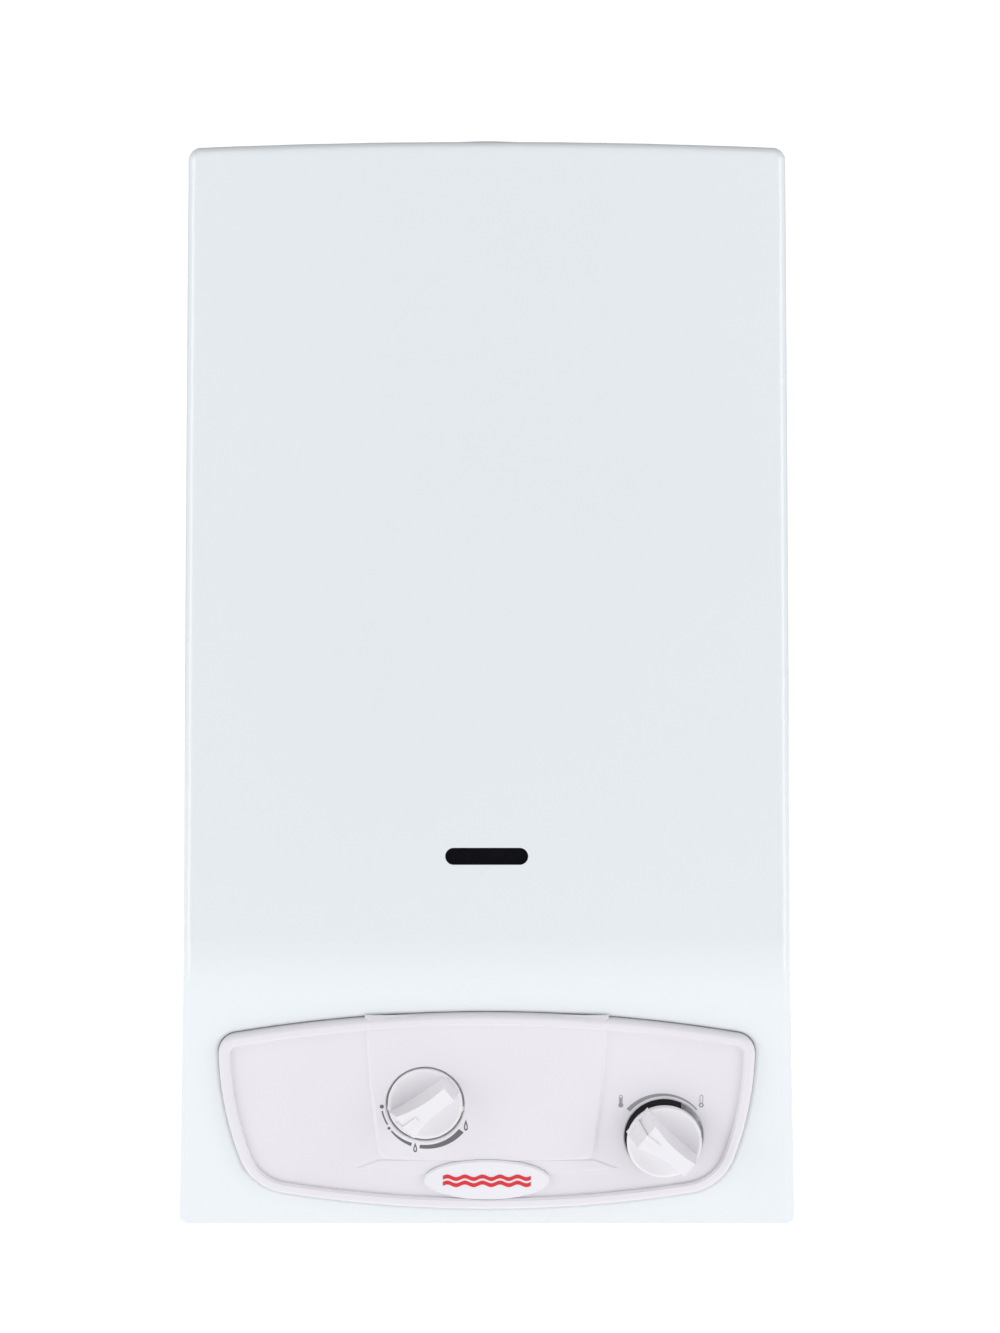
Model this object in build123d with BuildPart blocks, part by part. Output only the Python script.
"""Wall-hung instantaneous gas water heater with an open flue, in millimetres.

The wall is the plane Y = 0 and the heater hangs in front of it, towards -Y.
Z = 0 is the lower edge of the front cover, and X = 0 is the centre line.
"""

from build123d import *
import math
import os

os.makedirs("parts", exist_ok=True)

# ---------------------------------------------------------------- driving dimensions
# Front cover: one pressed shell, open at the back and at the bottom
COVER_HEIGHT = 583.0
TOP_HALF_WIDTH = 160.5
CREST_HALF_WIDTH = 161.0
BOTTOM_HALF_WIDTH = 166.5
TOP_ARCH = 3.5
TOP_DEPTH = 222.0
BOTTOM_DEPTH = 212.0
COVER_REAR = 6.0
COVER_SHEET = 1.2
COVER_EDGE_RADIUS = 6.0
COVER_CORNER_RADIUS = 7.0
CREST_DISTANCE = 145.0
CREST_RADIUS = 100.0
SIDE_KNEE_RADIUS = 400.0
FOOT_CORNER_RADIUS = 5.0
FRONT_BULGE = 2.5

# Control fascia: a plate that leans under the crest of the cover
FASCIA_TILT = 13.0
FASCIA_TOP = 120.0
FASCIA_BOTTOM = 9.0
FASCIA_TOP_ARC = 785.0
FASCIA_BOTTOM_ARC = 656.5
FASCIA_SIDE_ARC = 188.2
FASCIA_SIDE_CENTRE_X = -45.2
FASCIA_SIDE_CENTRE_V = 99.2
FASCIA_UPPER_RADIUS = 11.0
FASCIA_LOWER_RADIUS = 30.0
RIM_WIDTH = 6.4
RIM_PROUD = 4.0
RIM_EDGE_RADIUS = 2.6
FACE_PROUD = 1.6
FIELD_PROUD = 1.3
WING_PROUD = 0.5
FASCIA_WALL = 2.4
ROLL_RADIUS = 2.4
FASCIA_SEAT = ROLL_RADIUS + COVER_SHEET
FASCIA_SCREW_PLACES = ((-134.0, 95.0), (134.0, 95.0), (-60.0, 18.5), (60.0, 18.5))

# Controls on the fascia, as places across and up the fascia plane
GAS_KNOB_X = -32.9
GAS_KNOB_V = 69.2
HEAT_KNOB_X = 94.7
HEAT_KNOB_V = 50.5
KNOB_HOLE_RADIUS = 21.0
KNOB_HOLE_LIP = 0.9
KNOB_RADIUS = 20.0
KNOB_GRIP_HEIGHT = 13.0
KNOB_DISC = 3.2
KNOB_DEPTH = 15.0
GAS_KNOB_RIM = 2.6
HEAT_KNOB_RIM = 10.6
GAS_POINTER = 218.4
HEAT_POINTER = 141.0
KNOB_HUB_RADIUS = 9.0
DUST_CAP_MOUTH = 10.0
SPINDLE_RADIUS = 4.0
SPINDLE_TIP_RADIUS = 3.0
SPINDLE_GRIP = 9.0
PUSH_ROD_RADIUS = 1.5
GAS_SPINDLE_LENGTH = 34.0
HEAT_SPINDLE_LENGTH = 48.0

# Badge on the fascia
BADGE_V = 26.4
BADGE_HALF_WIDTH = 33.7
BADGE_HALF_HEIGHT = 11.4
BADGE_THICKNESS = 2.6

# Flame window
WINDOW_Z = 200.0
WINDOW_LENGTH = 44.0
WINDOW_HEIGHT = 9.0
WINDOW_SEAT = 237.4

# Back frame and wall fixing
FRAME_SHEET = 1.5
FRAME_HALF_WIDTH = 157.0
FRAME_FLANGE = 24.0
FRAME_BOTTOM = 14.0
PLATE_BOTTOM = -12.0
FRAME_TOP = 572.0
FIXING_SPACING = 236.0
UPPER_FIXING_Z = 548.0
LOWER_FIXING_Z = 60.0
FIXING_RADIUS = 4.5
COVER_SCREW_Y = -15.0
COVER_SCREW_Z = 22.0

# Burner, heat exchanger and flue
CHAMBER_Y = -125.0
CHAMBER_HALF_X = 112.0
CHAMBER_HALF_Y = 66.0
SHELL_BOTTOM = 206.0
SHELL_TOP = 446.0
SHELL_SHEET = 0.9
FIN_BOTTOM = 398.0
FIN_TOP = 442.0
FIN_COUNT = 36
TUBE_RADIUS = 7.0
TUBE_PITCH = 24.0
TUBE_Z = 420.0
COIL_RADIUS = 6.5
BURNER_TOP = 186.0
BURNER_BOTTOM = 146.0
BURNER_COUNT = 10
BURNER_PITCH = 20.5
FLUE_Y = -105.0
FLUE_BORE = 55.0
FLUE_TOP = 593.0
FLUE_MOUTH = 61.0
HOOD_TOP = 556.0
HOOD_THROAT = 50.0
COLLAR_SHEET = 1.2
COLLAR_STOP = 4.0
COLLAR_STOP_RADIUS = 52.0

COIL_START_Z = 204.0
COIL_RISE = 64.0
SIDE_RISER_X = 132.0
TUBE_END_X = 117.0
TUBE_REACH = 125.0
THERMOCOUPLE_X = 20.5
ELECTRODE_X = -20.5

# Valves: the servo axis runs along X through both
SERVO_Y = -148.0
SERVO_Z = 76.0
GAS_CHEST_LEFT = -75.0
GAS_CHEST_RIGHT = 12.0
CHEST_DEPTH = 44.0
CHEST_HEIGHT = 46.0
TAP_GUIDE = 8.0
PLUNGER_X = 2.0
PLUNGER_RADIUS = 13.0
PLUNGER_CHAMBER_END = -18.5
SERVO_ROD_RADIUS = 3.0
SERVO_PLATE_X = 48.3
DIAPHRAGM_X = 50.0
DIAPHRAGM_SHEET = 1.0
WATER_FLANGE_RADIUS = 34.0
WATER_CUP_RADIUS = 25.5
WATER_SCREW_CIRCLE = 29.8
WATER_BARREL_RADIUS = 24.0
WATER_VALVE_RIGHT = 112.0
INLET_FACE_Y = -118.0
INLET_Z = 70.0
OUTLET_X = 78.0
OUTLET_FACE_Z = 106.0
DRAIN_FACE_Z = 46.0
RISER_X = -58.0
PILOT_TAP_X = -30.0
PIEZO_X = -98.0

# Connections: three half-inch threads that point down, in the shelf of the frame
PORT_Y = -50.0
PORT_BOTTOM = -15.0
THREAD_END = 7.0
PORT_SHELF_DEPTH = 74.0
CONNECTOR_TOP = 40.0
HOT_X = -95.0
GAS_X = -10.0
COLD_X = 95.0
HALF_INCH_RADIUS = 10.48
PIPE_RADIUS = 7.0
PIPE_WALL = 1.0

tilt = math.radians(FASCIA_TILT)
outward = Vector(0, -math.cos(tilt), -math.sin(tilt))
fascia_plane = Plane(origin=(0, -BOTTOM_DEPTH, 0), x_dir=(1, 0, 0), z_dir=outward)


def save(part, label):
    """Label one finished piece and write it as the node of that name."""
    part.label = label
    export_step(part, f"parts/{label}.step")


def on_fascia(x, v, height=0.0, turn=0.0):
    """Plane parallel to the fascia, at a place on it, with its X axis turned."""
    place = fascia_plane.from_local_coords((x, v, height))
    angle = math.radians(turn)
    along = fascia_plane.x_dir * math.cos(angle) + fascia_plane.y_dir * math.sin(angle)
    return Plane(origin=place, x_dir=along, z_dir=outward)


def is_front_border(edge):
    """True for the edges that run up the front's sides and along its top."""
    along_wall = abs((edge % 0.5).Y) > 0.9
    centre = edge.center()
    at_side = abs(centre.X) > 150 or centre.Z > COVER_HEIGHT - 15
    return at_side and centre.Y < -200 and centre.Z > 1 and not along_wall


def is_knob_hole_mouth(edge):
    """True for the round edges at both ends of a knob hole."""
    return edge.geom_type == GeomType.CIRCLE and abs(edge.radius - KNOB_HOLE_RADIUS) < 0.01


def tube(points, radius, bends, wall=None):
    """Tube along straight runs joined by bends; a wire or rod where no wall is given."""
    with BuildPart() as pipe:
        with BuildLine() as route:
            FilletPolyline(*points, radius=bends)
        with BuildSketch(Plane(origin=route.line @ 0, z_dir=route.line % 0)):
            Circle(radius)
            if wall:
                Circle(radius - wall, mode=Mode.SUBTRACT)
        sweep(path=route.line)
    return pipe.part


def fascia_face(inset=0.0):
    """Face of the fascia's outline, moved inwards by an inset.

    The outline is what four large discs share, so each arc stays an arc.
    """
    with BuildSketch() as shape:
        with Locations((0, FASCIA_TOP - FASCIA_TOP_ARC)):
            Circle(FASCIA_TOP_ARC - inset)
        with Locations((0, FASCIA_BOTTOM + FASCIA_BOTTOM_ARC)):
            Circle(FASCIA_BOTTOM_ARC - inset, mode=Mode.INTERSECT)
        for side in (-1, 1):
            with Locations((side * FASCIA_SIDE_CENTRE_X, FASCIA_SIDE_CENTRE_V)):
                Circle(FASCIA_SIDE_ARC - inset, mode=Mode.INTERSECT)
        fillet(shape.vertices().group_by(Axis.Y)[-1], FASCIA_UPPER_RADIUS - inset)
        fillet(shape.vertices().group_by(Axis.Y)[0], FASCIA_LOWER_RADIUS - inset)
    return shape.sketch


# ---------------------------------------------------------------- front cover
crest_y = -BOTTOM_DEPTH - CREST_DISTANCE * math.sin(tilt)
crest_z = CREST_DISTANCE * math.cos(tilt)
front_middle_y = (crest_y - TOP_DEPTH) / 2 - FRONT_BULGE
front_middle_z = (crest_z + COVER_HEIGHT) / 2


def cover_body(inset, overrun):
    """Solid body of the cover, all its walls moved inwards by an inset.

    An overrun carries it past the open back and the open bottom, so that the
    inner body cuts both of them away.
    """
    low = -overrun
    rear = overrun - COVER_REAR
    top = COVER_HEIGHT - inset
    with BuildPart() as body:
        with BuildSketch(Plane.YZ.offset(-BOTTOM_HALF_WIDTH - 5)):
            with BuildLine():
                Line((rear, low), (inset - BOTTOM_DEPTH + overrun * math.tan(tilt), low))
                Line((inset - BOTTOM_DEPTH + overrun * math.tan(tilt), low), (crest_y + inset, crest_z))
                ThreePointArc(
                    (crest_y + inset, crest_z),
                    (front_middle_y + inset, front_middle_z),
                    (inset - TOP_DEPTH, COVER_HEIGHT + 5),
                )
                Line((inset - TOP_DEPTH, COVER_HEIGHT + 5), (rear, COVER_HEIGHT + 5))
                Line((rear, COVER_HEIGHT + 5), (rear, low))
            side_profile = make_face()
            fillet(side_profile.vertices().sort_by(Axis.X)[0], CREST_RADIUS - inset)
        extrude(amount=2 * BOTTOM_HALF_WIDTH + 10)
        with BuildSketch(Plane.XZ.offset(-overrun)):
            with BuildLine():
                foot = Line((-BOTTOM_HALF_WIDTH + inset, low), (BOTTOM_HALF_WIDTH - inset, low))
                Polyline(
                    foot @ 1,
                    (CREST_HALF_WIDTH - inset, crest_z),
                    (TOP_HALF_WIDTH - inset, top - TOP_ARCH),
                )
                ThreePointArc(
                    (TOP_HALF_WIDTH - inset, top - TOP_ARCH),
                    (0, top),
                    (inset - TOP_HALF_WIDTH, top - TOP_ARCH),
                )
                Polyline(
                    (inset - TOP_HALF_WIDTH, top - TOP_ARCH),
                    (inset - CREST_HALF_WIDTH, crest_z),
                    foot @ 0,
                )
            front_outline = make_face()
            top_corners = front_outline.vertices().group_by(Axis.Y)[-1]
            fillet(top_corners, COVER_CORNER_RADIUS - inset)
            fillet(front_outline.vertices().group_by(Axis.Y)[1], SIDE_KNEE_RADIUS)
        extrude(amount=COVER_HEIGHT, mode=Mode.INTERSECT)
        fillet(body.edges().filter_by(is_front_border), COVER_EDGE_RADIUS - inset)
    return body.part


with BuildPart() as front_cover:
    add(cover_body(0, 0))
    add(cover_body(COVER_SHEET, 10), mode=Mode.SUBTRACT)
    # opening for the fascia, wider than it by the rolled edge
    with BuildSketch(fascia_plane.offset(2)):
        add(fascia_face(-ROLL_RADIUS))
    extrude(amount=-12, mode=Mode.SUBTRACT)
    # flame window
    with BuildSketch(Plane.XZ.offset(200)):
        with Locations((0, WINDOW_Z)):
            SlotOverall(WINDOW_LENGTH, WINDOW_HEIGHT)
    extrude(amount=60, mode=Mode.SUBTRACT)
    # holes for the two screws at the foot of the side walls
    with BuildSketch(Plane.YZ.offset(-BOTTOM_HALF_WIDTH - 5)):
        with Locations((COVER_SCREW_Y, COVER_SCREW_Z)):
            Circle(2.2)
    extrude(amount=2 * BOTTOM_HALF_WIDTH + 10, mode=Mode.SUBTRACT)
    # mouth for the flue in the top, open at the rear so that the cover comes off forwards
    with BuildSketch(Plane.XY.offset(COVER_HEIGHT - 20)):
        with Locations((0, FLUE_Y + 100 - FLUE_MOUTH)):
            RectangleRounded(2 * FLUE_MOUTH, 200, 24)
    extrude(amount=40, mode=Mode.SUBTRACT)
    # rounded corners at the foot
    for side in (-1, 1):
        with BuildSketch(Plane.XZ):
            with Locations((side * BOTTOM_HALF_WIDTH, 0)):
                Rectangle(2 * FOOT_CORNER_RADIUS, 2 * FOOT_CORNER_RADIUS)
            with Locations((side * (BOTTOM_HALF_WIDTH - FOOT_CORNER_RADIUS), FOOT_CORNER_RADIUS)):
                Circle(FOOT_CORNER_RADIUS, mode=Mode.SUBTRACT)
        extrude(amount=BOTTOM_DEPTH + 10, mode=Mode.SUBTRACT)

# the sheet's rolled edge around the fascia opening: an even collar that turns inwards
with BuildPart() as rolled_edge:
    with BuildSketch(fascia_plane):
        add(fascia_face(-ROLL_RADIUS))
        add(fascia_face(), mode=Mode.SUBTRACT)
    extrude(amount=-ROLL_RADIUS - COVER_SHEET)
    edge_front = rolled_edge.faces().sort_by(Axis(fascia_plane.origin, outward))[-1]
    inner_border = edge_front.inner_wires()[0].edges()
    fillet(inner_border, ROLL_RADIUS - 0.01)
with BuildPart() as rolled_core:
    with BuildSketch(fascia_plane.offset(-COVER_SHEET)):
        add(fascia_face(-ROLL_RADIUS - 1))
        add(fascia_face(-COVER_SHEET), mode=Mode.SUBTRACT)
    extrude(amount=-ROLL_RADIUS - 1)
    core_front = rolled_core.faces().sort_by(Axis(fascia_plane.origin, outward))[-1]
    core_border = core_front.inner_wires()[0].edges()
    fillet(core_border, ROLL_RADIUS - COVER_SHEET - 0.01)
cover_shell = front_cover.part + (rolled_edge.part - rolled_core.part)
save(cover_shell, "front_cover")

# ---------------------------------------------------------------- control fascia
field_outline = [(-64.7, 119), (-62.8, 80), (-58.2, 37.7), (0, 34.5), (58.2, 37.7), (62.8, 80), (64.7, 119)]
wing_outline = [(-71, 32.4), (0, 26), (71, 32.4), (58, 37.5), (-58, 37.5)]

with BuildPart() as control_fascia:
    # body of the plate, from its seat inside the cover to the top of the rim
    with BuildSketch(fascia_plane.offset(-FASCIA_SEAT)):
        add(fascia_face(0.2))
    extrude(amount=FASCIA_SEAT + RIM_PROUD)
    rim_edges = control_fascia.faces().sort_by(Axis(fascia_plane.origin, outward))[-1].edges()
    fillet(rim_edges, RIM_EDGE_RADIUS)
    # the face lies lower than the rim, with a sloping wall between them
    with BuildSketch(fascia_plane.offset(FACE_PROUD)):
        add(fascia_face(RIM_WIDTH))
    extrude(amount=RIM_PROUD, mode=Mode.SUBTRACT)
    rim_top = control_fascia.faces().sort_by(Axis(fascia_plane.origin, outward))[-1]
    chamfer(rim_top.inner_wires()[0].edges(), 1.2, 0.9)
    # raised field in the middle, with bevelled sides, and the low wing under it
    with BuildSketch(fascia_plane.offset(FACE_PROUD)):
        with BuildLine():
            Polyline(*wing_outline, close=True)
        make_face()
    extrude(amount=WING_PROUD, taper=60)
    with BuildSketch(fascia_plane.offset(FACE_PROUD)):
        with BuildLine():
            Polyline(*field_outline, close=True)
        field_face = make_face()
        fillet(field_face.vertices().group_by(Axis.Y)[1], 6)
    extrude(amount=FIELD_PROUD, taper=56)
    # seat for the badge
    with BuildSketch(on_fascia(0, BADGE_V, FACE_PROUD)):
        Ellipse(BADGE_HALF_WIDTH + 0.2, BADGE_HALF_HEIGHT + 0.2)
    extrude(amount=6, mode=Mode.SUBTRACT)
    # holes for the two knobs
    for x, v in ((GAS_KNOB_X, GAS_KNOB_V), (HEAT_KNOB_X, HEAT_KNOB_V)):
        with BuildSketch(on_fascia(x, v, RIM_PROUD)):
            Circle(KNOB_HOLE_RADIUS)
        extrude(amount=-30, mode=Mode.SUBTRACT)
    fillet(control_fascia.edges().filter_by(is_knob_hole_mouth), KNOB_HOLE_LIP)
    # the back is hollow, so that the plate is a moulding of even thickness
    with BuildSketch(fascia_plane.offset(-FASCIA_SEAT)):
        add(fascia_face(3))
        for x, v in ((GAS_KNOB_X, GAS_KNOB_V), (HEAT_KNOB_X, HEAT_KNOB_V)):
            with Locations((x, v)):
                Circle(KNOB_HOLE_RADIUS + 2.2, mode=Mode.SUBTRACT)
        for x, v in FASCIA_SCREW_PLACES:
            with Locations((x, v)):
                Circle(4.5, mode=Mode.SUBTRACT)
    extrude(amount=FASCIA_SEAT + FACE_PROUD - FASCIA_WALL, mode=Mode.SUBTRACT)
    # screw bosses with pilot holes
    for x, v in FASCIA_SCREW_PLACES:
        with BuildSketch(on_fascia(x, v, -FASCIA_SEAT)):
            Circle(1.4)
        extrude(amount=4.2, mode=Mode.SUBTRACT)
save(control_fascia.part, "control_fascia")

with BuildPart() as badge_plate:
    with BuildSketch(on_fascia(0, BADGE_V, FACE_PROUD)):
        Ellipse(BADGE_HALF_WIDTH, BADGE_HALF_HEIGHT)
    extrude(amount=BADGE_THICKNESS)
    badge_edge = badge_plate.faces().sort_by(Axis(fascia_plane.origin, outward))[-1].edges()
    chamfer(badge_edge, 0.9)
save(badge_plate.part, "badge_plate")

# cap that closes the temperature knob's hole from behind, around its hub
with BuildPart() as dust_cap:
    with BuildSketch(on_fascia(HEAT_KNOB_X, HEAT_KNOB_V, -FASCIA_SEAT)):
        Circle(KNOB_HOLE_RADIUS + 2.2)
        Circle(DUST_CAP_MOUTH, mode=Mode.SUBTRACT)
    extrude(amount=-1.2)
save(dust_cap.part, "dust_cap")

# strap inside the cover that clamps the fascia from behind
with BuildPart() as fascia_clamp:
    with BuildSketch(fascia_plane.offset(-ROLL_RADIUS - COVER_SHEET - 0.2)):
        add(fascia_face(-5))
        add(fascia_face(10), mode=Mode.SUBTRACT)
        for x, v in FASCIA_SCREW_PLACES:
            with Locations((x, v)):
                Circle(1.8, mode=Mode.SUBTRACT)
    extrude(amount=-1.5)
save(fascia_clamp.part, "fascia_clamp")

with BuildPart() as fascia_screws:
    for x, v in FASCIA_SCREW_PLACES:
        screw_seat = -ROLL_RADIUS - COVER_SHEET - 1.7
        with BuildSketch(on_fascia(x, v, screw_seat)):
            Circle(3.2)
        extrude(amount=-2)
        with BuildSketch(on_fascia(x, v, screw_seat)):
            Circle(1.35)
        extrude(amount=5.6)
save(fascia_screws.part, "fascia_screws")


# ---------------------------------------------------------------- knobs and spindles
def build_knob(x, v, rim, pointer):
    """Round control knob with a waisted grip bar, at a place on the fascia."""
    seat = on_fascia(x, v, rim, pointer)
    with BuildPart() as knob:
        # thin round disc with a soft border, on a narrow hub
        with BuildSketch(seat):
            Circle(KNOB_RADIUS)
        extrude(amount=-KNOB_DISC)
        border = knob.faces().sort_by(Axis(seat.origin, outward))[-1].edges()
        fillet(border, 0.8)
        with BuildSketch(seat.offset(-KNOB_DISC)):
            Circle(KNOB_HUB_RADIUS)
        extrude(amount=KNOB_DISC - KNOB_DEPTH)
        # shallow dish for the fingers
        with BuildSketch(Plane(seat.origin, x_dir=seat.x_dir, z_dir=-seat.y_dir)):
            with BuildLine():
                dish_floor = ThreePointArc((0, -3.2), (9.5, -2.3), (KNOB_RADIUS - 1.6, 0))
                Polyline(dish_floor @ 1, (KNOB_RADIUS - 1.6, 1), (0, 1), dish_floor @ 0)
            make_face()
        revolve(axis=Axis(seat.origin, outward), mode=Mode.SUBTRACT)
        # grip bar, wide at its pointer end, with hollow sides that lean inwards
        with BuildSketch(seat.offset(-3)):
            with BuildLine():
                right_side = ThreePointArc((19.0, -8.9), (-2, -5.6), (-18.6, -6.1))
                left_side = ThreePointArc((-18.6, 6.1), (-2, 5.6), (19.0, 8.9))
                Line(right_side @ 1, left_side @ 0)
                Line(left_side @ 1, right_side @ 0)
            make_face()
        with BuildSketch(seat.offset(KNOB_GRIP_HEIGHT)):
            with BuildLine():
                right_side = ThreePointArc((13.2, -7.7), (-3, -4.3), (-16.6, -4.6))
                left_side = ThreePointArc((-16.6, 4.6), (-3, 4.3), (13.2, 7.7))
                Line(right_side @ 1, left_side @ 0)
                Line(left_side @ 1, right_side @ 0)
            make_face()
        loft()
        # pointer rib over the top and down the wide end
        rib_plane = Plane(seat.origin, x_dir=seat.x_dir, z_dir=-seat.y_dir)
        with BuildSketch(rib_plane):
            with BuildLine():
                Polyline(
                    (4.6, KNOB_GRIP_HEIGHT - 2),
                    (5.2, KNOB_GRIP_HEIGHT + 0.8),
                    (13.8, KNOB_GRIP_HEIGHT + 0.8),
                    (19.4, -0.6),
                    (12, -2),
                    close=True,
                )
            make_face()
        extrude(amount=1.2, both=True)
        # socket for the tip of the spindle
        with BuildSketch(seat.offset(-KNOB_DEPTH)):
            Circle(SPINDLE_TIP_RADIUS + 0.05)
        extrude(amount=SPINDLE_GRIP, mode=Mode.SUBTRACT)
    return knob.part


save(build_knob(GAS_KNOB_X, GAS_KNOB_V, GAS_KNOB_RIM, GAS_POINTER), "gas_knob")
save(build_knob(HEAT_KNOB_X, HEAT_KNOB_V, HEAT_KNOB_RIM, HEAT_POINTER), "temperature_knob")

# gas spindle: a tube that turns with the gas knob and slides in the tap
gas_base = GAS_KNOB_RIM - KNOB_DEPTH
gas_axis = on_fascia(GAS_KNOB_X, GAS_KNOB_V, gas_base)
with BuildPart() as gas_tap_spindle:
    with BuildSketch(gas_axis.offset(SPINDLE_GRIP - 0.5)):
        Circle(SPINDLE_TIP_RADIUS)
    extrude(amount=-SPINDLE_GRIP + 0.5)
    with BuildSketch(gas_axis):
        Circle(SPINDLE_RADIUS)
    extrude(amount=-GAS_SPINDLE_LENGTH)
    with BuildSketch(gas_axis.offset(-GAS_SPINDLE_LENGTH)):
        Circle(PUSH_ROD_RADIUS + 0.08)
    extrude(amount=GAS_SPINDLE_LENGTH - 2, mode=Mode.SUBTRACT)
save(gas_tap_spindle.part, "gas_tap_spindle")

# push rod inside the spindle: it slides when the knob is pressed, and doesn't turn
with BuildPart() as gas_push_rod:
    with BuildSketch(gas_axis.offset(-2.1)):
        Circle(PUSH_ROD_RADIUS)
    extrude(amount=-GAS_SPINDLE_LENGTH - 8)
    with BuildSketch(gas_axis.offset(-GAS_SPINDLE_LENGTH - 4)):
        Circle(6)
    extrude(amount=-1.6)
save(gas_push_rod.part, "gas_push_rod")

with BuildPart() as push_spring:
    spring_seat = gas_axis.offset(-GAS_SPINDLE_LENGTH - 6.3)
    with BuildLine():
        coil = Helix(pitch=2.6, height=12, radius=4.6, center=spring_seat.origin, direction=-outward)
    with BuildSketch(Plane(coil @ 0, z_dir=coil % 0)):
        Circle(0.5)
    sweep(path=coil)
save(push_spring.part, "push_spring")

heat_base = HEAT_KNOB_RIM - KNOB_DEPTH
heat_axis = on_fascia(HEAT_KNOB_X, HEAT_KNOB_V, heat_base)
with BuildPart() as selector_spindle:
    with BuildSketch(heat_axis.offset(SPINDLE_GRIP - 0.5)):
        Circle(SPINDLE_TIP_RADIUS)
    extrude(amount=-SPINDLE_GRIP + 0.5)
    with BuildSketch(heat_axis):
        Circle(SPINDLE_RADIUS)
    extrude(amount=-HEAT_SPINDLE_LENGTH)
    with BuildSketch(heat_axis.offset(-HEAT_SPINDLE_LENGTH)):
        Circle(SPINDLE_RADIUS + 1.5)
    extrude(amount=-6)
save(selector_spindle.part, "selector_spindle")

# ---------------------------------------------------------------- flame window
with BuildPart() as window_frame:
    with BuildSketch(Plane.XZ.offset(WINDOW_SEAT)):
        with Locations((0, WINDOW_Z)):
            RectangleRounded(WINDOW_LENGTH + 22, WINDOW_HEIGHT + 18, 3)
    extrude(amount=3.6)
    with BuildSketch(Plane.XZ.offset(WINDOW_SEAT - 2)):
        with Locations((0, WINDOW_Z)):
            SlotOverall(WINDOW_LENGTH + 2, WINDOW_HEIGHT + 2)
    extrude(amount=10, mode=Mode.SUBTRACT)
    with BuildSketch(Plane.XZ.offset(WINDOW_SEAT)):
        with Locations((0, WINDOW_Z)):
            RectangleRounded(WINDOW_LENGTH + 10, WINDOW_HEIGHT + 8, 2)
    extrude(amount=2.1, mode=Mode.SUBTRACT)
save(window_frame.part, "window_frame")

with BuildPart() as window_glass:
    with BuildSketch(Plane.XZ.offset(WINDOW_SEAT + 0.1)):
        with Locations((0, WINDOW_Z)):
            RectangleRounded(WINDOW_LENGTH + 9, WINDOW_HEIGHT + 7, 1.8)
    extrude(amount=1.9)
save(window_glass.part, "window_glass")

# ---------------------------------------------------------------- back frame
with BuildPart() as back_frame:
    with BuildSketch(Plane.XZ):
        with Locations((0, (PLATE_BOTTOM + FRAME_TOP) / 2)):
            RectangleRounded(2 * FRAME_HALF_WIDTH, FRAME_TOP - PLATE_BOTTOM, 4)
    extrude(amount=FRAME_SHEET)
    # side flanges
    for side in (-1, 1):
        with BuildSketch(Plane.XZ):
            with Locations((side * (FRAME_HALF_WIDTH - FRAME_SHEET / 2), (FRAME_BOTTOM + FRAME_TOP) / 2)):
                Rectangle(FRAME_SHEET, FRAME_TOP - FRAME_BOTTOM - 8)
        extrude(amount=FRAME_FLANGE)
    # foot shelf that carries the connections
    with BuildSketch(Plane.XY.offset(FRAME_BOTTOM)):
        with Locations((0, -PORT_SHELF_DEPTH / 2)):
            Rectangle(2 * FRAME_HALF_WIDTH - 8, PORT_SHELF_DEPTH)
        for x in (HOT_X, GAS_X, COLD_X):
            with Locations((x, PORT_Y)):
                Circle(HALF_INCH_RADIUS + 0.4, mode=Mode.SUBTRACT)
    extrude(amount=2)
    # four wall fixing holes, and two windows for wall pipework
    with BuildSketch(Plane.XZ.offset(-1)):
        with Locations((0, (UPPER_FIXING_Z + LOWER_FIXING_Z) / 2)):
            with GridLocations(FIXING_SPACING, UPPER_FIXING_Z - LOWER_FIXING_Z, 2, 2):
                Circle(FIXING_RADIUS)
    extrude(amount=10, mode=Mode.SUBTRACT)
    with BuildSketch(Plane.XZ.offset(-1)):
        with Locations((0, 150), (0, 500)):
            RectangleRounded(180, 50, 8)
    extrude(amount=10, mode=Mode.SUBTRACT)
    # holes for the two cover screws
    with BuildSketch(Plane.YZ.offset(-FRAME_HALF_WIDTH - 1)):
        with Locations((COVER_SCREW_Y, COVER_SCREW_Z)):
            Circle(2.1)
    extrude(amount=2 * FRAME_HALF_WIDTH + 2, mode=Mode.SUBTRACT)
save(back_frame.part, "back_frame")

with BuildPart() as cover_screws:
    for side in (-1, 1):
        wall = side * (BOTTOM_HALF_WIDTH - 0.6)
        with BuildSketch(Plane(origin=(wall, COVER_SCREW_Y, COVER_SCREW_Z), z_dir=(side, 0, 0))):
            Circle(5)
        extrude(amount=2.2)
        fillet(cover_screws.faces().sort_by(Axis.X)[-1 if side > 0 else 0].edges(), 0.8)
        with BuildSketch(Plane(origin=(wall, COVER_SCREW_Y, COVER_SCREW_Z), z_dir=(-side, 0, 0))):
            Circle(1.9)
        extrude(amount=14)
save(cover_screws.part, "cover_screws")

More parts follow.
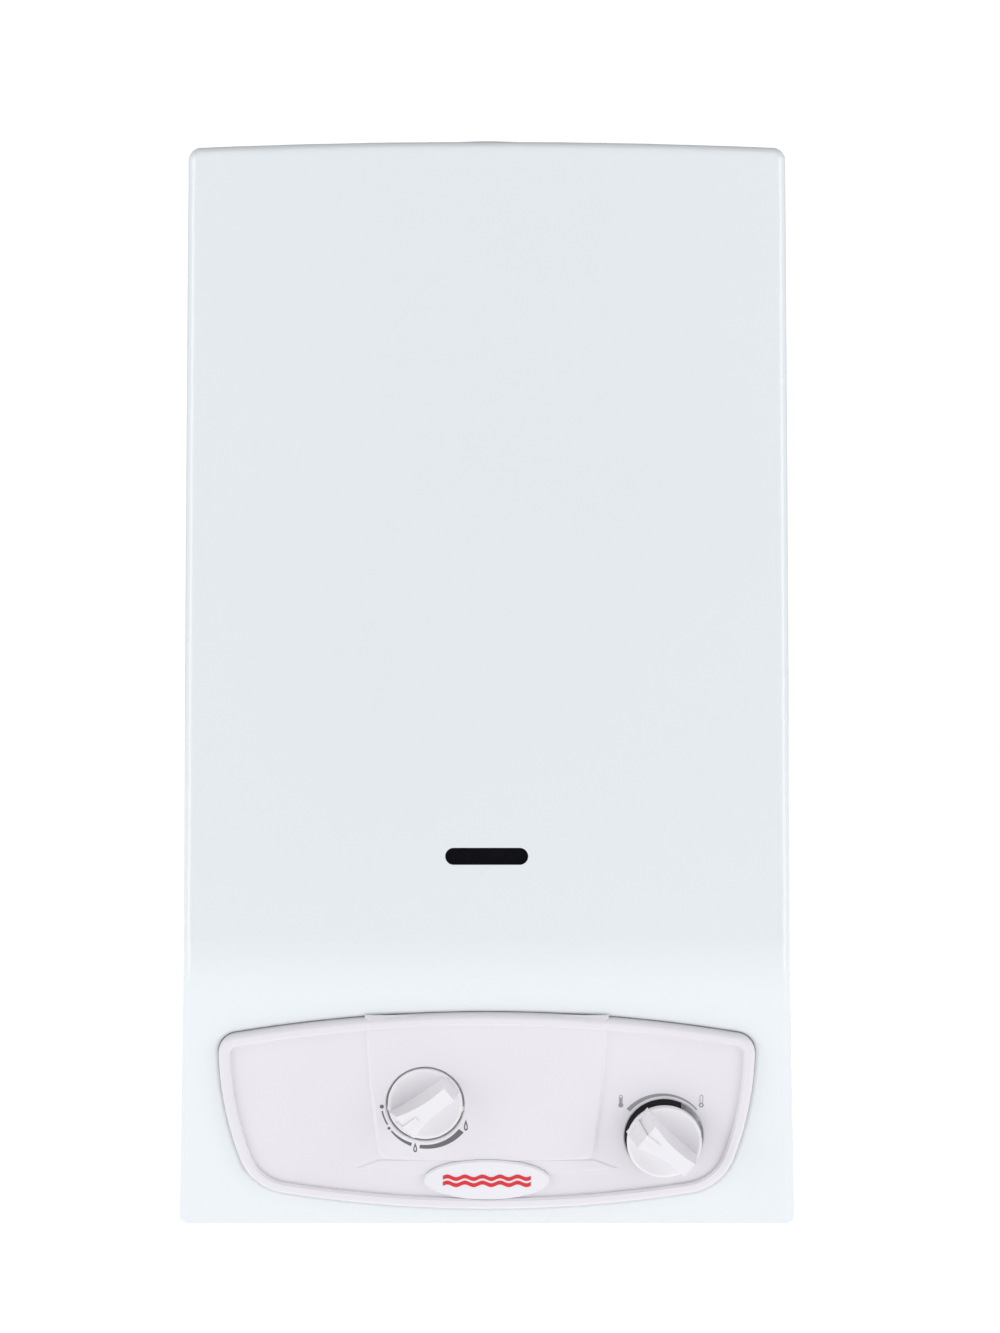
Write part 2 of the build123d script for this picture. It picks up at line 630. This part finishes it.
# ---------------------------------------------------------------- heat exchanger
with BuildPart() as exchanger_shell:
    with BuildSketch(Plane.XY.offset(SHELL_BOTTOM)):
        with Locations((0, CHAMBER_Y)):
            RectangleRounded(2 * CHAMBER_HALF_X, 2 * CHAMBER_HALF_Y, 14)
            RectangleRounded(
                2 * (CHAMBER_HALF_X - SHELL_SHEET), 2 * (CHAMBER_HALF_Y - SHELL_SHEET), 13.1, mode=Mode.SUBTRACT
            )
    extrude(amount=SHELL_TOP - SHELL_BOTTOM)
    # holes for the water tubes in both end walls
    with BuildSketch(Plane.YZ.offset(-CHAMBER_HALF_X - 5)):
        with Locations((CHAMBER_Y, TUBE_Z)):
            with GridLocations(TUBE_PITCH, 1, 5, 1):
                Circle(TUBE_RADIUS + 0.1)
    extrude(amount=2 * CHAMBER_HALF_X + 10, mode=Mode.SUBTRACT)
save(exchanger_shell.part, "exchanger_shell")

fin_pitch = 2 * (CHAMBER_HALF_X - 8) / (FIN_COUNT - 1)
with BuildPart() as exchanger_fins:
    for number in range(FIN_COUNT):
        with BuildSketch(Plane.YZ.offset(-CHAMBER_HALF_X + 8 + number * fin_pitch)):
            with Locations((CHAMBER_Y, (FIN_BOTTOM + FIN_TOP) / 2)):
                Rectangle(2 * CHAMBER_HALF_Y - 8, FIN_TOP - FIN_BOTTOM)
                with Locations((0, TUBE_Z - (FIN_BOTTOM + FIN_TOP) / 2)):
                    with GridLocations(TUBE_PITCH, 1, 5, 1):
                        Circle(TUBE_RADIUS + 0.02, mode=Mode.SUBTRACT)
        extrude(amount=0.5)
save(exchanger_fins.part, "exchanger_fins")

# ---------------------------------------------------------------- flue
with BuildPart() as flue_hood:
    hood_low = SHELL_TOP + 0.2
    with BuildSketch(Plane.XY.offset(hood_low)):
        with Locations((0, CHAMBER_Y)):
            RectangleRounded(2 * CHAMBER_HALF_X + 6, 2 * CHAMBER_HALF_Y + 6, 14)
    with BuildSketch(Plane.XY.offset(HOOD_TOP)):
        with Locations((0, FLUE_Y)):
            RectangleRounded(150, 118, 30)
    loft()
    with BuildSketch(Plane.XY.offset(hood_low - 0.1)):
        with Locations((0, CHAMBER_Y)):
            RectangleRounded(2 * CHAMBER_HALF_X + 4, 2 * CHAMBER_HALF_Y + 4, 13)
    with BuildSketch(Plane.XY.offset(HOOD_TOP - 1)):
        with Locations((0, FLUE_Y)):
            RectangleRounded(148, 116, 29)
    loft(mode=Mode.SUBTRACT)
    with BuildSketch(Plane.XY.offset(HOOD_TOP - 5)):
        with Locations((0, FLUE_Y)):
            Circle(HOOD_THROAT)
    extrude(amount=10, mode=Mode.SUBTRACT)
save(flue_hood.part, "flue_hood")

with BuildPart() as flue_collar:
    with BuildSketch(Plane.XY.offset(HOOD_TOP)):
        with Locations((0, FLUE_Y)):
            Circle(FLUE_BORE + 4)
    extrude(amount=1)
    with BuildSketch(Plane.XY.offset(HOOD_TOP)):
        with Locations((0, FLUE_Y)):
            Circle(FLUE_BORE + COLLAR_SHEET)
    extrude(amount=FLUE_TOP - HOOD_TOP)
    # the flue pipe's socket, and the narrower stop that the pipe rests on
    with BuildSketch(Plane.XY.offset(HOOD_TOP + COLLAR_STOP)):
        with Locations((0, FLUE_Y)):
            Circle(FLUE_BORE)
    extrude(amount=FLUE_TOP - HOOD_TOP, mode=Mode.SUBTRACT)
    with BuildSketch(Plane.XY.offset(HOOD_TOP)):
        with Locations((0, FLUE_Y)):
            Circle(COLLAR_STOP_RADIUS)
    extrude(amount=COLLAR_STOP, mode=Mode.SUBTRACT)
save(flue_collar.part, "flue_collar")

with BuildPart() as flue_thermostat:
    with BuildSketch(Plane.XZ.offset(-FLUE_Y + 72)):
        with Locations((40, 525)):
            Circle(9)
    extrude(amount=6)
    with BuildSketch(Plane.XZ.offset(-FLUE_Y + 78)):
        with Locations((40, 525)):
            Circle(7)
    extrude(amount=5)
save(flue_thermostat.part, "flue_thermostat")

# ---------------------------------------------------------------- burner
with BuildPart() as burner_bars:
    for number in range(BURNER_COUNT):
        bar_x = (number - (BURNER_COUNT - 1) / 2) * BURNER_PITCH
        with BuildSketch(Plane.XZ.offset(-CHAMBER_Y - 55)):
            with Locations((bar_x, (BURNER_TOP + BURNER_BOTTOM) / 2)):
                RectangleRounded(13, BURNER_TOP - BURNER_BOTTOM, 5)
        extrude(amount=110)
        with BuildSketch(Plane.XZ.offset(-CHAMBER_Y - 54)):
            with Locations((bar_x, (BURNER_TOP + BURNER_BOTTOM) / 2)):
                RectangleRounded(11, BURNER_TOP - BURNER_BOTTOM - 2, 4)
        extrude(amount=108, mode=Mode.SUBTRACT)
        with BuildSketch(Plane.XY.offset(BURNER_TOP - 3)):
            with Locations((bar_x, CHAMBER_Y)):
                with GridLocations(1, 9, 1, 11):
                    Rectangle(9, 1.6)
        extrude(amount=5, mode=Mode.SUBTRACT)
        with BuildSketch(Plane.XZ.offset(-CHAMBER_Y + 40)):
            with Locations((bar_x, BURNER_BOTTOM + 10)):
                Circle(4.5)
        extrude(amount=20, mode=Mode.SUBTRACT)
save(burner_bars.part, "burner_bars")

burner_half_x = BURNER_COUNT * BURNER_PITCH / 2 + 2
with BuildPart() as burner_frame:
    for y in (CHAMBER_Y - 56.5, CHAMBER_Y + 55.2):
        with BuildSketch(Plane.XY.offset(BURNER_BOTTOM - 10)):
            with Locations((0, y + 0.65)):
                Rectangle(2 * burner_half_x, 1.2)
        extrude(amount=BURNER_TOP - BURNER_BOTTOM + 8)
    for side in (-1, 1):
        with BuildSketch(Plane.XY.offset(BURNER_BOTTOM - 10)):
            with Locations((side * burner_half_x, CHAMBER_Y)):
                Rectangle(1.4, 113.5)
        extrude(amount=BURNER_TOP - BURNER_BOTTOM + 8)
    # mouths in the front wall for the injectors
    with BuildSketch(Plane.XZ.offset(-CHAMBER_Y + 50)):
        with Locations((0, BURNER_BOTTOM + 10)):
            with GridLocations(BURNER_PITCH, 1, BURNER_COUNT, 1):
                Circle(5)
    extrude(amount=12, mode=Mode.SUBTRACT)
save(burner_frame.part, "burner_frame")

manifold_y = CHAMBER_Y - 73
with BuildPart() as gas_manifold:
    with BuildSketch(Plane.YZ.offset(-burner_half_x - 2)):
        with Locations((manifold_y, BURNER_BOTTOM + 10)):
            RectangleRounded(15, 16, 4)
    extrude(amount=2 * burner_half_x + 4)
    with BuildSketch(Plane.XZ.offset(-manifold_y - 10)):
        with Locations((0, BURNER_BOTTOM + 10)):
            with GridLocations(BURNER_PITCH, 1, BURNER_COUNT, 1):
                Circle(2.6)
    extrude(amount=6, mode=Mode.SUBTRACT)
save(gas_manifold.part, "gas_manifold")

with BuildPart() as injectors:
    for number in range(BURNER_COUNT):
        bar_x = (number - (BURNER_COUNT - 1) / 2) * BURNER_PITCH
        with BuildSketch(Plane(origin=(bar_x, manifold_y + 4.5, BURNER_BOTTOM + 10), z_dir=(0, 1, 0))):
            Circle(2.5)
        extrude(amount=3.5)
        with BuildSketch(Plane(origin=(bar_x, manifold_y + 7.7, BURNER_BOTTOM + 10), z_dir=(0, 1, 0))):
            RegularPolygon(3.6, 6)
        extrude(amount=3)
        with BuildSketch(Plane(origin=(bar_x, manifold_y + 10.7, BURNER_BOTTOM + 10), z_dir=(0, 1, 0))):
            Circle(2)
        extrude(amount=4)
save(injectors.part, "injectors")

pilot_y = CHAMBER_Y - 62
with BuildPart() as pilot_burner:
    with BuildSketch(Plane.XY.offset(BURNER_TOP - 12)):
        with Locations((0, pilot_y)):
            RectangleRounded(9, 7, 2)
    extrude(amount=20)
    with BuildSketch(Plane.XY.offset(BURNER_TOP - 2)):
        with Locations((0, pilot_y)):
            Rectangle(6, 8)
    extrude(amount=6, mode=Mode.SUBTRACT)
save(pilot_burner.part, "pilot_burner")

with BuildPart() as ignition_electrode:
    with BuildSketch(Plane.XY.offset(BURNER_TOP - 22)):
        with Locations((ELECTRODE_X, pilot_y)):
            Circle(3.2)
    extrude(amount=22)
    with BuildSketch(Plane.XY.offset(BURNER_TOP - 26)):
        with Locations((ELECTRODE_X, pilot_y)):
            Circle(0.9)
    extrude(amount=38)
save(ignition_electrode.part, "ignition_electrode")

with BuildPart() as thermocouple:
    with BuildSketch(Plane.XY.offset(BURNER_TOP - 20)):
        with Locations((THERMOCOUPLE_X, pilot_y)):
            Circle(3)
    extrude(amount=14)
    with BuildSketch(Plane.XY.offset(BURNER_TOP - 6)):
        with Locations((THERMOCOUPLE_X, pilot_y)):
            Circle(1.9)
    extrude(amount=16)
save(thermocouple.part, "thermocouple")

# ---------------------------------------------------------------- gas valve
tap_face = gas_axis.offset(-GAS_SPINDLE_LENGTH + TAP_GUIDE)


def servo_plane(x, towards=-1):
    """Plane across the servo axis at a place along X, facing left or right."""
    return Plane(origin=(x, SERVO_Y, SERVO_Z), x_dir=(0, 1, 0), z_dir=(towards, 0, 0))


with BuildPart() as gas_valve_body:
    # tap tower along the gas knob's axis, and chest along the servo axis
    with BuildSketch(tap_face):
        Circle(17)
    extrude(amount=-TAP_GUIDE - 16)
    with BuildSketch(servo_plane(GAS_CHEST_RIGHT)):
        RectangleRounded(CHEST_DEPTH, CHEST_HEIGHT, 6)
    extrude(amount=GAS_CHEST_RIGHT - GAS_CHEST_LEFT)
    # bore for the spindle, then a wider chamber for the push spring
    with BuildSketch(tap_face.offset(1)):
        Circle(SPINDLE_RADIUS + 0.06)
    extrude(amount=-TAP_GUIDE - 2, mode=Mode.SUBTRACT)
    with BuildSketch(tap_face.offset(-TAP_GUIDE)):
        Circle(7.5)
    extrude(amount=-30, mode=Mode.SUBTRACT)
    # chamber for the gas plunger and its spring
    with BuildSketch(servo_plane(GAS_CHEST_RIGHT + 1)):
        Circle(PLUNGER_RADIUS + 1)
    extrude(amount=GAS_CHEST_RIGHT + 1 - PLUNGER_CHAMBER_END, mode=Mode.SUBTRACT)
    # screw holes for the end cover
    with BuildSketch(servo_plane(GAS_CHEST_LEFT - 1, 1)):
        with GridLocations(CHEST_DEPTH - 12, CHEST_HEIGHT - 12, 2, 2):
            Circle(1.6)
    extrude(amount=10, mode=Mode.SUBTRACT)
save(gas_valve_body.part, "gas_valve_body")

with BuildPart() as gas_valve_cover:
    with BuildSketch(servo_plane(GAS_CHEST_LEFT)):
        RectangleRounded(CHEST_DEPTH, CHEST_HEIGHT, 6)
        with GridLocations(CHEST_DEPTH - 12, CHEST_HEIGHT - 12, 2, 2):
            Circle(1.7, mode=Mode.SUBTRACT)
    extrude(amount=3)
save(gas_valve_cover.part, "gas_valve_cover")

# ---------------------------------------------------------------- water valve
with BuildPart() as water_valve_body:
    # flange and cup on the gas side of the diaphragm
    with BuildSketch(servo_plane(DIAPHRAGM_X)):
        Circle(WATER_FLANGE_RADIUS)
    extrude(amount=14)
    fillet(water_valve_body.faces().sort_by(Axis.X)[0].edges(), 4)
    with BuildSketch(servo_plane(DIAPHRAGM_X)):
        Circle(WATER_CUP_RADIUS)
    extrude(amount=10, mode=Mode.SUBTRACT)
    # neck that joins the gas valve, with the guide for the push rod
    with BuildSketch(servo_plane(DIAPHRAGM_X - 13)):
        Circle(16)
    extrude(amount=DIAPHRAGM_X - 13 - GAS_CHEST_RIGHT)
    with BuildSketch(servo_plane(DIAPHRAGM_X)):
        Circle(SERVO_ROD_RADIUS + 0.06)
    extrude(amount=DIAPHRAGM_X, mode=Mode.SUBTRACT)
    with BuildSketch(servo_plane(DIAPHRAGM_X)):
        with PolarLocations(WATER_SCREW_CIRCLE, 6):
            Circle(1.8)
    extrude(amount=20, mode=Mode.SUBTRACT)
save(water_valve_body.part, "water_valve_body")

water_cover_left = DIAPHRAGM_X + DIAPHRAGM_SHEET
with BuildPart() as water_valve_cover:
    with BuildSketch(servo_plane(water_cover_left, 1)):
        Circle(WATER_FLANGE_RADIUS)
    extrude(amount=12)
    with BuildSketch(servo_plane(water_cover_left + 12, 1)):
        Circle(WATER_BARREL_RADIUS)
    extrude(amount=WATER_VALVE_RIGHT - water_cover_left - 12)
    fillet(water_valve_cover.faces().sort_by(Axis.X)[-1].edges(), 5)
    # tower for the temperature selector
    with BuildSketch(heat_axis.offset(-HEAT_SPINDLE_LENGTH + 10)):
        Circle(11)
    extrude(amount=-28)
    # inlet boss at the back, outlet boss on top, drain boss below
    with BuildSketch(Plane(origin=(COLD_X, INLET_FACE_Y, INLET_Z), z_dir=(0, -1, 0))):
        Circle(11)
    extrude(amount=14)
    with BuildSketch(Plane(origin=(OUTLET_X, SERVO_Y, OUTLET_FACE_Z), z_dir=(0, 0, -1))):
        Circle(11)
    extrude(amount=16)
    with BuildSketch(Plane(origin=(OUTLET_X, SERVO_Y, DRAIN_FACE_Z), z_dir=(0, 0, 1))):
        Circle(8)
    extrude(amount=12)
    # cup on the water side of the diaphragm
    with BuildSketch(servo_plane(water_cover_left, 1)):
        Circle(WATER_CUP_RADIUS)
    extrude(amount=7, mode=Mode.SUBTRACT)
    # bores for the selector spindle
    with BuildSketch(heat_axis.offset(-HEAT_SPINDLE_LENGTH + 11)):
        Circle(SPINDLE_RADIUS + 0.06)
    extrude(amount=-12, mode=Mode.SUBTRACT)
    with BuildSketch(heat_axis.offset(-HEAT_SPINDLE_LENGTH + 0.3)):
        Circle(SPINDLE_RADIUS + 2)
    extrude(amount=-7, mode=Mode.SUBTRACT)
    with BuildSketch(servo_plane(water_cover_left - 1, 1)):
        with PolarLocations(WATER_SCREW_CIRCLE, 6):
            Circle(1.8)
    extrude(amount=14, mode=Mode.SUBTRACT)
save(water_valve_cover.part, "water_valve_cover")

with BuildPart() as diaphragm:
    with BuildSketch(servo_plane(DIAPHRAGM_X, 1)):
        Circle(WATER_FLANGE_RADIUS - 0.5)
        with PolarLocations(WATER_SCREW_CIRCLE, 6):
            Circle(1.8, mode=Mode.SUBTRACT)
    extrude(amount=DIAPHRAGM_SHEET)
save(diaphragm.part, "diaphragm")

with BuildPart() as valve_screws:
    for place in PolarLocations(WATER_SCREW_CIRCLE, 6):
        centre = servo_plane(water_cover_left + 12, 1).from_local_coords(place.position)
        with BuildSketch(Plane(origin=centre, z_dir=(1, 0, 0))):
            Circle(3.1)
        extrude(amount=2.6)
        with BuildSketch(Plane(origin=centre, z_dir=(-1, 0, 0))):
            Circle(1.6)
        extrude(amount=24)
    for place in GridLocations(CHEST_DEPTH - 12, CHEST_HEIGHT - 12, 2, 2):
        centre = servo_plane(GAS_CHEST_LEFT - 3).from_local_coords(place.position)
        with BuildSketch(Plane(origin=centre, z_dir=(-1, 0, 0))):
            Circle(3)
        extrude(amount=2.2)
        with BuildSketch(Plane(origin=centre, z_dir=(1, 0, 0))):
            Circle(1.5)
        extrude(amount=10)
save(valve_screws.part, "valve_screws")

# the moving servo: plate, push rod, gas plunger and its spring slide together
with BuildPart() as diaphragm_plate:
    with BuildSketch(servo_plane(SERVO_PLATE_X)):
        Circle(22)
    extrude(amount=2)
    fillet(diaphragm_plate.edges(), 0.6)
save(diaphragm_plate.part, "diaphragm_plate")

with BuildPart() as servo_rod:
    with BuildSketch(servo_plane(SERVO_PLATE_X - 2)):
        Circle(SERVO_ROD_RADIUS)
    extrude(amount=SERVO_PLATE_X - 2 - PLUNGER_X)
save(servo_rod.part, "servo_rod")

with BuildPart() as gas_plunger:
    with BuildSketch(servo_plane(PLUNGER_X)):
        Circle(PLUNGER_RADIUS)
    extrude(amount=6)
    chamfer(gas_plunger.faces().sort_by(Axis.X)[-1].edges(), 2)
save(gas_plunger.part, "gas_plunger")

with BuildPart() as plunger_spring:
    coil_seat = servo_plane(PLUNGER_X - 6.7)
    with BuildLine():
        plunger_coil = Helix(pitch=2.4, height=7.2, radius=8, center=coil_seat.origin, direction=(-1, 0, 0))
    with BuildSketch(Plane(plunger_coil @ 0, z_dir=plunger_coil % 0)):
        Circle(0.5)
    sweep(path=plunger_coil)
save(plunger_spring.part, "plunger_spring")

# ---------------------------------------------------------------- connections and pipes
with BuildPart() as drain_plug:
    with BuildSketch(Plane(origin=(OUTLET_X, SERVO_Y, DRAIN_FACE_Z), z_dir=(0, 0, -1))):
        RegularPolygon(7.5, 6)
    extrude(amount=6)
save(drain_plug.part, "drain_plug")

shelf_top = FRAME_BOTTOM + 2
for x, label in (
    (HOT_X, "hot_outlet_connector"),
    (GAS_X, "gas_inlet_connector"),
    (COLD_X, "cold_inlet_connector"),
):
    with BuildPart() as connector:
        with BuildSketch(Plane(origin=(x, PORT_Y, PORT_BOTTOM), z_dir=(0, 0, 1))):
            Circle(HALF_INCH_RADIUS)
        extrude(amount=CONNECTOR_TOP - PORT_BOTTOM)
        chamfer(connector.faces().sort_by(Axis.Z)[0].edges(), 1)
        with BuildSketch(Plane(origin=(x, PORT_Y, THREAD_END), z_dir=(0, 0, 1))):
            Circle(HALF_INCH_RADIUS)
            Circle(HALF_INCH_RADIUS - 0.9, mode=Mode.SUBTRACT)
        extrude(amount=1.2, mode=Mode.SUBTRACT)
        with BuildSketch(Plane(origin=(x, PORT_Y, shelf_top + 1.5), z_dir=(0, 0, 1))):
            RegularPolygon(15, 6)
        extrude(amount=8)
        with BuildSketch(Plane(origin=(x, PORT_Y, PORT_BOTTOM), z_dir=(0, 0, 1))):
            Circle(7.5)
        extrude(amount=CONNECTOR_TOP - PORT_BOTTOM - 6, mode=Mode.SUBTRACT)
    save(connector.part, label)

with BuildPart() as lock_nuts:
    for x in (HOT_X, GAS_X, COLD_X):
        with BuildSketch(Plane(origin=(x, PORT_Y, FRAME_BOTTOM), z_dir=(0, 0, -1))):
            RegularPolygon(15.5, 6)
            Circle(HALF_INCH_RADIUS + 0.02, mode=Mode.SUBTRACT)
        extrude(amount=5)
save(lock_nuts.part, "lock_nuts")

with BuildPart() as sealing_washers:
    for x in (HOT_X, GAS_X, COLD_X):
        with BuildSketch(Plane(origin=(x, PORT_Y, shelf_top), z_dir=(0, 0, 1))):
            Circle(14)
            Circle(HALF_INCH_RADIUS + 0.02, mode=Mode.SUBTRACT)
        extrude(amount=1.5)
save(sealing_washers.part, "sealing_washers")

cold_route = [
    (COLD_X, PORT_Y, CONNECTOR_TOP),
    (COLD_X, PORT_Y, INLET_Z),
    (COLD_X, INLET_FACE_Y, INLET_Z),
]
save(tube(cold_route, PIPE_RADIUS, 20, PIPE_WALL), "cold_pipe")

gas_route = [
    (GAS_X, PORT_Y, CONNECTOR_TOP),
    (GAS_X, PORT_Y, SERVO_Z),
    (GAS_X, SERVO_Y + CHEST_DEPTH / 2, SERVO_Z),
]
save(tube(gas_route, PIPE_RADIUS, 20, PIPE_WALL), "gas_pipe")

coil_x = CHAMBER_HALF_X + COIL_RADIUS + 0.3
coil_y = CHAMBER_HALF_Y + COIL_RADIUS + 0.3
coil_front = CHAMBER_Y - coil_y
feed_route = [
    (OUTLET_X, SERVO_Y, OUTLET_FACE_Z),
    (OUTLET_X, SERVO_Y, 124),
    (coil_x, coil_front, 124),
    (coil_x, coil_front, COIL_START_Z),
]
save(tube(feed_route, COIL_RADIUS, 9, PIPE_WALL), "feed_pipe")

# cooling coil around the shell, from the feed pipe up to the first exchanger tube
coil_corners = [(-coil_x, coil_front), (-coil_x, CHAMBER_Y + coil_y), (coil_x, CHAMBER_Y + coil_y), (coil_x, coil_front)]
coil_route = [(coil_x, coil_front, COIL_START_Z), (coil_x, coil_front, COIL_START_Z + 34)]
for turn in range(2):
    for corner, (x, y) in enumerate(coil_corners):
        coil_route.append((x, y, COIL_START_Z + 40 + COIL_RISE * turn + COIL_RISE / 4 * corner))
tube_first_y = CHAMBER_Y - 2 * TUBE_PITCH
coil_route += [(SIDE_RISER_X, tube_first_y, TUBE_Z - 24), (SIDE_RISER_X, tube_first_y, TUBE_Z), (TUBE_END_X, tube_first_y, TUBE_Z)]
coil_bends = [16] * 8 + [10, 8, 8]
save(tube(coil_route, COIL_RADIUS, coil_bends, PIPE_WALL), "shell_coil")

# water tube that runs to and fro through the fins
serpentine = []
for row in range(5):
    row_y = CHAMBER_Y + (row - 2) * TUBE_PITCH
    heading = 1 if row % 2 == 0 else -1
    serpentine += [(heading * TUBE_REACH, row_y, TUBE_Z), (-heading * TUBE_REACH, row_y, TUBE_Z)]
serpentine[0] = (TUBE_END_X, serpentine[0][1], TUBE_Z)
serpentine[-1] = (-TUBE_END_X, serpentine[-1][1], TUBE_Z)
save(tube(serpentine, TUBE_RADIUS, TUBE_PITCH / 2 - 0.1, PIPE_WALL), "exchanger_tubes")

tube_last_y = CHAMBER_Y + 2 * TUBE_PITCH
hot_route = [
    (-TUBE_END_X, tube_last_y, TUBE_Z),
    (-SIDE_RISER_X - 2, tube_last_y, TUBE_Z),
    (-SIDE_RISER_X - 2, tube_last_y, 90),
    (HOT_X, PORT_Y, 62),
    (HOT_X, PORT_Y, CONNECTOR_TOP),
]
save(tube(hot_route, PIPE_RADIUS, [10, 14, 12], PIPE_WALL), "hot_pipe")

manifold_route = [
    (RISER_X, SERVO_Y, SERVO_Z + CHEST_HEIGHT / 2),
    (RISER_X, SERVO_Y, 119),
    (RISER_X, manifold_y, 119),
    (RISER_X, manifold_y, BURNER_BOTTOM + 2),
]
save(tube(manifold_route, 6, 10, PIPE_WALL), "manifold_riser")

pilot_route = [
    (PILOT_TAP_X, SERVO_Y + 6, SERVO_Z + CHEST_HEIGHT / 2),
    (PILOT_TAP_X, SERVO_Y + 6, 112),
    (0, pilot_y, 128),
    (0, pilot_y, BURNER_TOP - 12),
]
save(tube(pilot_route, 2, 6), "pilot_tube")

capillary_route = [
    (THERMOCOUPLE_X, pilot_y, BURNER_TOP - 20),
    (THERMOCOUPLE_X, pilot_y, 130),
    (4, SERVO_Y - 12, 116),
    (4, SERVO_Y - 12, SERVO_Z + CHEST_HEIGHT / 2),
]
save(tube(capillary_route, 1.3, 8), "thermocouple_lead")

# nuts that clamp the pipes on their fittings
nut_seats = [
    (Plane(origin=(HOT_X, PORT_Y, CONNECTOR_TOP + 0.2), z_dir=(0, 0, 1)), PIPE_RADIUS),
    (Plane(origin=(GAS_X, PORT_Y, CONNECTOR_TOP + 0.2), z_dir=(0, 0, 1)), PIPE_RADIUS),
    (Plane(origin=(COLD_X, PORT_Y, CONNECTOR_TOP + 0.2), z_dir=(0, 0, 1)), PIPE_RADIUS),
    (Plane(origin=(COLD_X, INLET_FACE_Y + 0.2, INLET_Z), z_dir=(0, 1, 0)), PIPE_RADIUS),
    (Plane(origin=(OUTLET_X, SERVO_Y, OUTLET_FACE_Z + 0.2), z_dir=(0, 0, 1)), COIL_RADIUS),
]
with BuildPart() as union_nuts:
    for seat, radius in nut_seats:
        with BuildSketch(seat):
            RegularPolygon(13, 6)
            Circle(radius + 0.05, mode=Mode.SUBTRACT)
        extrude(amount=8)
save(union_nuts.part, "union_nuts")

# ---------------------------------------------------------------- ignition
piezo_axis = on_fascia(PIEZO_X, GAS_KNOB_V + 6, -30)
with BuildPart() as piezo_igniter:
    with BuildSketch(piezo_axis):
        Circle(7)
    extrude(amount=-14)
    with BuildSketch(piezo_axis.offset(-14)):
        Circle(9)
    extrude(amount=-34)
save(piezo_igniter.part, "piezo_igniter")

piezo_end = piezo_axis.from_local_coords((0, 0, -48))
lead_route = [
    (piezo_end.X, piezo_end.Y, piezo_end.Z),
    (piezo_end.X, piezo_end.Y + 14, piezo_end.Z + 3.2),
    (piezo_end.X + 8, piezo_end.Y + 14, 129),
    (ELECTRODE_X, pilot_y, 131),
    (ELECTRODE_X, pilot_y, BURNER_TOP - 26),
]
save(tube(lead_route, 1.2, 6), "ignition_lead")

# ---------------------------------------------------------------- brackets
with BuildPart() as valve_bracket:
    with BuildSketch(Plane.XY.offset(SERVO_Z - 8)):
        with Locations((-58, -63.5)):
            Rectangle(24, 124)
    extrude(amount=2)
    for y in (-124.5, -3.5):
        with BuildSketch(Plane.XY.offset(SERVO_Z - 8)):
            with Locations((-58, y)):
                Rectangle(24, 2)
        extrude(amount=24)
save(valve_bracket.part, "valve_bracket")

with BuildPart() as burner_brackets:
    for side in (-1, 1):
        with BuildSketch(Plane.YZ.offset(side * (burner_half_x + 1.6) - 0.75)):
            with Locations((-84, BURNER_BOTTOM + 12)):
                Rectangle(164, 30)
        extrude(amount=1.5)
save(burner_brackets.part, "burner_brackets")

with BuildPart() as exchanger_brackets:
    for side in (-1, 1):
        with BuildSketch(Plane.YZ.offset(side * 50)):
            with Locations((-30.1, 310)):
                Rectangle(57, 14)
        extrude(amount=2)
save(exchanger_brackets.part, "exchanger_brackets")
